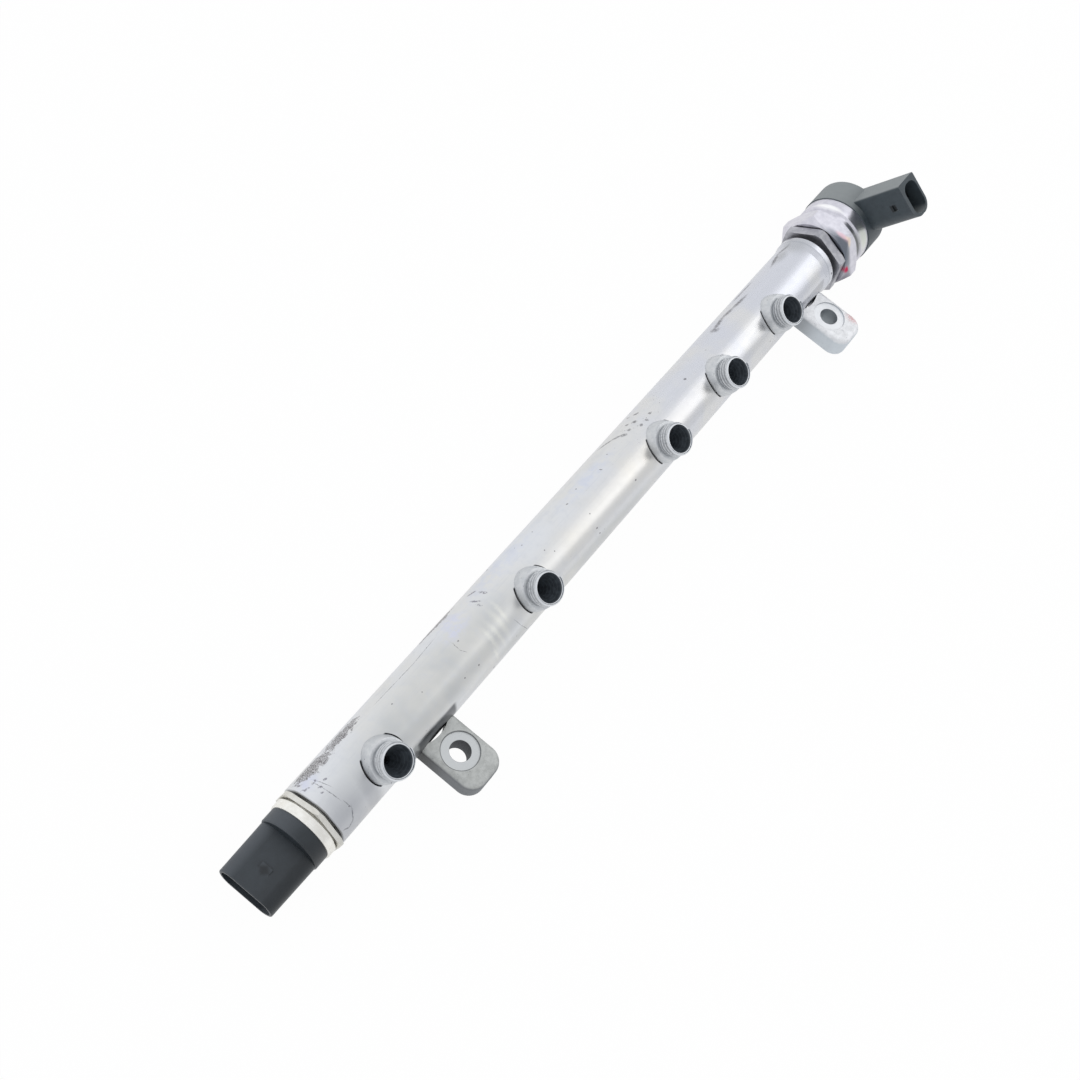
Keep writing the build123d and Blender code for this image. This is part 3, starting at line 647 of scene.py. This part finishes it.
# %% Steel with lathe rings
def turned_steel(name, light, dark, dull, colour_patches=(), ring_depth=0.02):
    """Colour patches are (colour, station, arc, half length, half width, strength): films, paint,
    and painted shade, reflections and highlights.
    """
    r = Recipe(name)
    station, arc = unroll(r)
    flat = r.join(station, arc, 0.0)
    mottle = r.noise(0.4, 4.0, 0.6)
    rings = r.noise(3.0, 3.0, 0.6, r.join(station * 2.0, arc * 0.04, 0.0))
    base = r.blend(r.ramp(mottle, 0.3, 0.7), tint(*light), tint(*dark))
    base = r.blend(r.ramp(rings, 0.45, 0.75) * 0.3, base, tint(*(c * 0.86 for c in dark)))
    for colour, place, around, long, wide, strength in colour_patches:
        patch_mask = mark(r, flat, place, around, long, wide, 0, edge=1.2)
        base = r.blend(patch_mask * strength, base, tint(*colour))
    specks = r.ramp(r.cells(0.35), 0.09, 0.05) * r.ramp(mottle, 0.5, 0.6)
    base = r.blend(specks * 0.7, base, tint(110, 108, 106))
    rough = dull + mottle * 0.1 + rings * 0.06
    return r.finish(Base_Color=base, Metallic=1.0, Roughness=rough,
                    Normal=r.bump(rings + mottle * 0.6, ring_depth))


dress(turned_steel("sensor_steel", (228, 227, 221), (215, 213, 206), 0.28), "sensor_body")
dress(turned_steel("sleeve_steel", (248, 247, 242), (236, 234, 227), 0.22), "sensor_sleeve")
dress(turned_steel("cell_steel", (205, 206, 208), (190, 190, 192), 0.2), "sensor_cell")
dress(turned_steel("nut_zinc", (192, 192, 197), (170, 171, 177), 0.34), "valve_lock_nut")
# The passivate on the valve's housing has run into coloured films, and a drop of paint marks it.
# The dark patches are painted shade and painted reflections, the white one a painted highlight, and
# the pale green one partly a painted reflection.
HOUSING_FILMS_AND_PAINTED_LIGHT = (
    # Painted shade on the near cone and under the hexagon
    ((100, 108, 118), 356.4, 9.0, 2.6, 9.5, 0.9),
    ((112, 110, 120), 357.0, 25.0, 2.4, 5.5, 0.85),
    # Passivate films
    ((234, 190, 200), 358.9, 4.6, 1.2, 2.4, 0.6),
    ((242, 220, 192), 359.6, 7.4, 1.2, 1.8, 0.6),
    # A drop of paint
    ((196, 44, 84), 356.0, 17.8, 0.7, 1.5, 0.95),
    # A painted dark reflection at the waist
    ((98, 102, 98), 367.4, 13.5, 1.7, 9.0, 0.85),
    # A pale green tint, partly a painted reflection
    ((216, 222, 200), 372.5, 12.0, 2.8, 5.5, 0.55),
    # A painted highlight on the band
    ((255, 255, 255), 370.6, -6.9, 1.3, 5.2, 0.95),
)
dress(turned_steel("valve_zinc", (221, 220, 228), (206, 205, 214), 0.24, HOUSING_FILMS_AND_PAINTED_LIGHT),
      "valve_housing")
dress(turned_steel("cartridge_steel", (180, 181, 184), (150, 151, 155), 0.34), "valve_body")
dress(turned_steel("magnetic_steel", (150, 151, 155), (122, 123, 127), 0.38),
      "valve_armature", "valve_core")
dress(turned_steel("hard_steel", (214, 214, 218), (204, 204, 208), 0.1), "valve_ball")
dress(turned_steel("spring_steel", (150, 148, 146), (128, 126, 124), 0.3), "valve_spring")
dress(turned_steel("tinned_brass", (214, 205, 180), (196, 184, 154), 0.3),
      "sensor_terminal_1", "sensor_terminal_2", "sensor_terminal_3",
      "valve_terminal_1", "valve_terminal_2")
dress(turned_steel("copper_wire", (196, 116, 72), (168, 92, 54), 0.35), "valve_coil")

# %% [markdown]
# Three steel pieces need a mesh of their own. The photograph shows a lower hexagon on the sensor
# than the solid's, with a bright, wider sleeve beside it and a dark groove between. They could be
# painted on the solid, but its flat sides would still show. So the body gets a copy whose hexagon
# ends sooner, and the sleeve is turned anew. The valve's spring gets a plain copy in its place.

# %% A low hexagon, a long sleeve and a copied spring
HEX_CUT = 2.4
SLEEVE_BORE = 10.83
SLEEVE_RADIUS = 13.2
SPIGOT_RADIUS = 11.53
SPIGOT_LENGTH = 3.2
GROOVE_RADIUS = 11.6
GROOVE_WIDTH = 0.42
BEVEL_REACH = 1.2


def copy_of(node, name):
    """The solid's mesh as a new object in the same place, free to change."""
    mesh = nodes[node].data.copy()
    mesh.transform(nodes[node].matrix_world)
    thing = bpy.data.objects.new(name, mesh)
    bpy.context.scene.collection.objects.link(thing)
    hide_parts(node)
    return thing


def low_hexagon():
    """The sensor's body with the far end of its hexagon, and its bevel, moved towards the tube."""
    body = copy_of("sensor_body", "sensor_body_low_hexagon")
    hex_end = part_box("sensor_sleeve")[1].x
    moved = 0
    for corner in body.data.vertices:
        out = hypot(corner.co.y - AXIS.y, corner.co.z - AXIS.z)
        if abs(corner.co.x - hex_end) < BEVEL_REACH * MM and out > (SLEEVE_BORE - 0.1) * MM:
            corner.co.x += HEX_CUT * MM
            moved += 1
    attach(body, "rail")
    print(body.name, "moved", moved, "corners")


def long_sleeve():
    """The sleeve's outline as radius and distance before the tube's end, spun round the tube."""
    low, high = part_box("sensor_sleeve")
    face = (AXIS.x - high.x) / MM - HEX_CUT + 0.05
    end = (AXIS.x - low.x) / MM
    flange = end - SPIGOT_LENGTH
    outline = ((SLEEVE_BORE, face), (GROOVE_RADIUS, face),
               (GROOVE_RADIUS + 0.1, face + GROOVE_WIDTH),
               (SLEEVE_RADIUS, face + GROOVE_WIDTH + 0.08), (SLEEVE_RADIUS, flange - 0.4),
               (SLEEVE_RADIUS - 0.15, flange - 0.1), (SLEEVE_RADIUS - 0.4, flange),
               (SPIGOT_RADIUS, flange), (SPIGOT_RADIUS, end), (SLEEVE_BORE, end))
    turn = Matrix.Translation(AXIS) @ Matrix.Rotation(radians(-90), 4, "Y")
    steel = nodes["sensor_sleeve"].data.materials[0]
    sleeve = shell_object("sensor_sleeve_long", spin_outline(outline), turn, steel)
    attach(sleeve, "rail")
    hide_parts("sensor_sleeve")
    print(sleeve.name, "from", round(face, 2), "to", round(end, 2), "mm before the tube's end")


def live_spring():
    """A copy of the spring, its place baked into its mesh."""
    spring = copy_of("valve_spring", "valve_spring_live")
    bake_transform(spring)


low_hexagon()
long_sleeve()
live_spring()

# %% [markdown]
# ## Moulded plastic
#
# Both plugs are glass filled nylon. A fresh moulding is nearly black with an even satin grain; the
# glass fibres come to the surface as faint pale flecks. The valve's cap sits higher and hotter, so
# it has paled on the sides that face up and out, and dust stays in that dry surface. On both plugs
# that paler colour is also a painted sheen, and the socket, the slot, the latch's hollow and the
# side under the sensor plug's collar are darkened as painted shade.

# %% Black nylon: dust, a painted sheen and painted shade
SOCKET_STATION = 386.5


def socket_dark(r):
    """The valve plug's socket and the slot in its side, where little light comes."""
    centre = AXIS + Vector((SOCKET_STATION, 0, 0))
    x, y, z = r.parts(r.within(r.point, tuple(centre), (LEAN, 0, 0), (MM, MM, MM)))
    wide = r.ramp(abs(x - 0.4), 6.0, 5.7) * r.ramp(abs(y + 0.5), 8.6, 8.3)
    inside = wide * r.ramp(z, 20.0, 24.0)
    slot = r.ramp(abs(y), 1.9, 1.5) * r.ramp(abs(z - 33.2), 1.5, 1.1) * r.ramp(x, -5.5, -6.0)
    return larger(inside, slot)


def latch_dark(r):
    """Painted shade in the hollow before the sensor plug's latch, and under its collar."""
    x, y, z = r.parts(r.within(r.point, tuple(AXIS), (0, 0, 0), (MM, MM, MM)))
    slope = abs(y) * 0.8 + abs(x + 26.2)
    hollow = r.ramp(slope, 3.0, 0.8) * r.ramp(z, 3.0, 5.0)
    right = r.ramp(y, 1.0, -11.0) * r.ramp(z, 0.0, 4.0)
    return larger(hollow * 0.8, right * 0.55)


def nylon(name, deep, pale, dust, dull, faces=(0, 0, 1), low=0.5, high=1.0, dark=None):
    """Deep colour with pale dust and a painted sheen on what faces one way; dark is a function that
    masks painted shade.
    """
    r = Recipe(name)
    grain = r.noise(5.0, 3.0, 0.6)
    mottle = r.noise(0.35, 4.0, 0.6)
    flecks = r.ramp(r.noise(3.5, 2.0, 0.5, r.place(r.mm, size=(0.35, 1, 1))), 0.62, 0.72)
    base = r.blend(r.ramp(mottle, 0.3, 0.7), tint(*deep), tint(*(c * 1.1 for c in deep)))
    base = r.blend(flecks * 0.2, base, tint(*(c * 1.7 for c in deep)))
    # Dust, and a painted sheen, on the faces that look one way
    dust_and_sheen = r.ramp(r.facing(faces), low, high) * dust * (0.9 + mottle * 0.2)
    base = r.blend(dust_and_sheen, base, tint(*pale))
    if dark:
        # Painted shade where the dark mask says
        base = r.blend(dark(r) * 0.8, base, tint(*(c * 0.35 for c in deep)))
    rough = dull + grain * 0.08 + dust_and_sheen * 0.2
    return r.finish(Base_Color=base, Roughness=rough, Specular_IOR_Level=0.4,
                    Normal=r.bump(grain + mottle * 0.5, 0.012))


UP_AND_LEFT = (-0.35, 0.7, 0.62)
dress(nylon("sensor_nylon", (40, 46, 51), (84, 89, 95), 0.7, 0.34, UP_AND_LEFT, 0.45, 1.0,
            latch_dark), "sensor_plug_housing")
UP_AND_BACK = (0.1, 0.62, 0.78)
dress(nylon("valve_nylon", (58, 66, 71), (148, 153, 154), 0.8, 0.42, UP_AND_BACK, 0.35, 1.0,
            socket_dark), "valve_plug_cap")
dress(nylon("seal_rubber", (22, 22, 24), (60, 60, 60), 0.1, 0.6),
      "sensor_seal", "valve_seal_ring")
dress(nylon("backup_nylon", (190, 186, 170), (210, 206, 190), 0.2, 0.5), "valve_backup_ring")
dress(nylon("bobbin_nylon", (92, 76, 54), (120, 104, 80), 0.1, 0.5), "valve_bobbin")
dress(nylon("board_laminate", (40, 84, 58), (70, 110, 84), 0.2, 0.45), "sensor_circuit_board")

# %% [markdown]
# ## Studio
#
# The photograph is a product shot on pure white, so the background is white for the camera. The
# sky is a pale light, a little stronger from behind the tube. Two lamps beyond the valve draw the
# long highlight on the crest: a large square one and a wide, low strip that spreads it downwards.
# The camera's place comes from the outlines in the photograph.

# %% Camera
LENS = 48.336
CAMERA_PLACE = (-0.328614, -0.022441, 0.510589)
CAMERA_TURN = (0.877637, 0.148212, -0.208408, -0.405405)
scene = bpy.context.scene
camera_data = bpy.data.cameras.new("camera")
camera_data.lens = LENS
camera_data.sensor_width = 36.0
camera_data.clip_start = 0.01
camera = bpy.data.objects.new("camera", camera_data)
camera.location = CAMERA_PLACE
camera.rotation_mode = "QUATERNION"
camera.rotation_quaternion = Quaternion(CAMERA_TURN)
scene.collection.objects.link(camera)
scene.camera = camera
print("camera lens", camera_data.lens)

# %% [markdown]
# The floor is a round sheet just under the rail. It keeps the rail's shadow, and glows white for
# the camera and, less, for reflections, by mixing in an emission where Light Path says so.

# %% Floor
FLOOR_RADIUS = 2.5
FLOOR_GAP = 0.0005
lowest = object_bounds()[0].z
floor_mesh = bmesh.new()
bmesh.ops.create_circle(floor_mesh, cap_ends=True, segments=96, radius=FLOOR_RADIUS)
bmesh.ops.translate(floor_mesh, verts=floor_mesh.verts, vec=(0, 0, lowest - FLOOR_GAP))
floor_data = bpy.data.meshes.new("floor")
floor_mesh.to_mesh(floor_data)
floor_mesh.free()
floor = bpy.data.objects.new("floor", floor_data)
scene.collection.objects.link(floor)


def floor_paper():
    r = Recipe("white_paper")
    output = next(n for n in r.tree.nodes if n.type == "OUTPUT_MATERIAL")
    glow = r.node("Emission", None, {"Strength": 1.0})
    seen = r.node("LightPath", out="Is Camera Ray") * 0.97
    behind = r.ramp(r.parts(r.point)[1], -0.3, 0.4)
    mirrored = r.node("LightPath", out="Is Glossy Ray") * (0.45 + behind * 0.4)
    surface = r.node("MixShader", None, {0: larger(seen, mirrored)})
    mix = surface.socket.node
    r.tree.links.new(r.shader.outputs[0], mix.inputs[1])
    r.tree.links.new(glow.socket, mix.inputs[2])
    r.tree.links.new(surface.socket, output.inputs["Surface"])
    paper = r.blend(r.noise(0.9, 3.0), tint(240, 240, 240), tint(244, 244, 244))
    return r.finish(Base_Color=paper, Roughness=0.9)


floor.data.materials.append(floor_paper())

# %% Sky
world = bpy.data.worlds.new("studio")
scene.world = world
world.use_nodes = True
sky = world.node_tree
sky.nodes.clear()


def sky_node(kind, settings=None, inputs=None):
    made = sky.nodes.new("ShaderNode" + kind)
    for key, value in (settings or {}).items():
        setattr(made, key, value)
    for key, value in (inputs or {}).items():
        if isinstance(value, bpy.types.NodeSocket):
            sky.links.new(value, made.inputs[key])
        else:
            made.inputs[key].default_value = value
    return made


direction = sky_node("TexCoord").outputs["Generated"]
across = sky_node("SeparateXYZ", None, {0: direction}).outputs["Y"]
side = sky_node("MapRange", {"interpolation_type": "SMOOTHSTEP"},
                {"Value": across, "From Min": -0.9, "From Max": 0.7}).outputs[0]
shade = sky_node("Mix", {"data_type": "RGBA"},
                 {0: side, 6: (0.78, 0.79, 0.81, 1.0), 7: (0.97, 0.98, 1.0, 1.0)}).outputs[2]
soft = sky_node("Background", None, {"Color": shade, "Strength": 1.0})
white = sky_node("Background", None, {"Color": (1.0, 1.0, 1.0, 1.0), "Strength": 1.0})
seen = sky_node("LightPath").outputs["Is Camera Ray"]
both = sky_node("MixShader", None, {0: seen, 1: soft.outputs[0], 2: white.outputs[0]})
sky_node("OutputWorld", None, {"Surface": both.outputs[0]})
print("sky has", len(sky.nodes), "nodes")

# %% Lamps
def softbox(name, place, aim, width, height, power, colour=(1.0, 1.0, 1.0)):
    lamp = bpy.data.lights.new(name, "AREA")
    lamp.shape = "RECTANGLE"
    lamp.size = width
    lamp.size_y = height
    lamp.energy = power
    lamp.color = colour
    box = bpy.data.objects.new(name, lamp)
    box.location = place
    direction = Vector(aim) - Vector(place)
    box.rotation_mode = "QUATERNION"
    box.rotation_quaternion = direction.to_track_quat("-Z", "Y")
    scene.collection.objects.link(box)
    print("lamp", name, "watts", power)


WARM_WHITE = (1.0, 0.985, 0.965)
NEARLY_WHITE = (1.0, 1.0, 0.99)
softbox("key", (1.16, -0.50, 1.08), (0.0, 0.02, 0.02), 1.3, 1.12, 2.1, WARM_WHITE)
softbox("low_strip", (1.28, -0.43, 1.12), (0.12, 0.02, 0.02), 2.0, 0.4, 0.9, NEARLY_WHITE)

scene.view_settings.view_transform = "Standard"
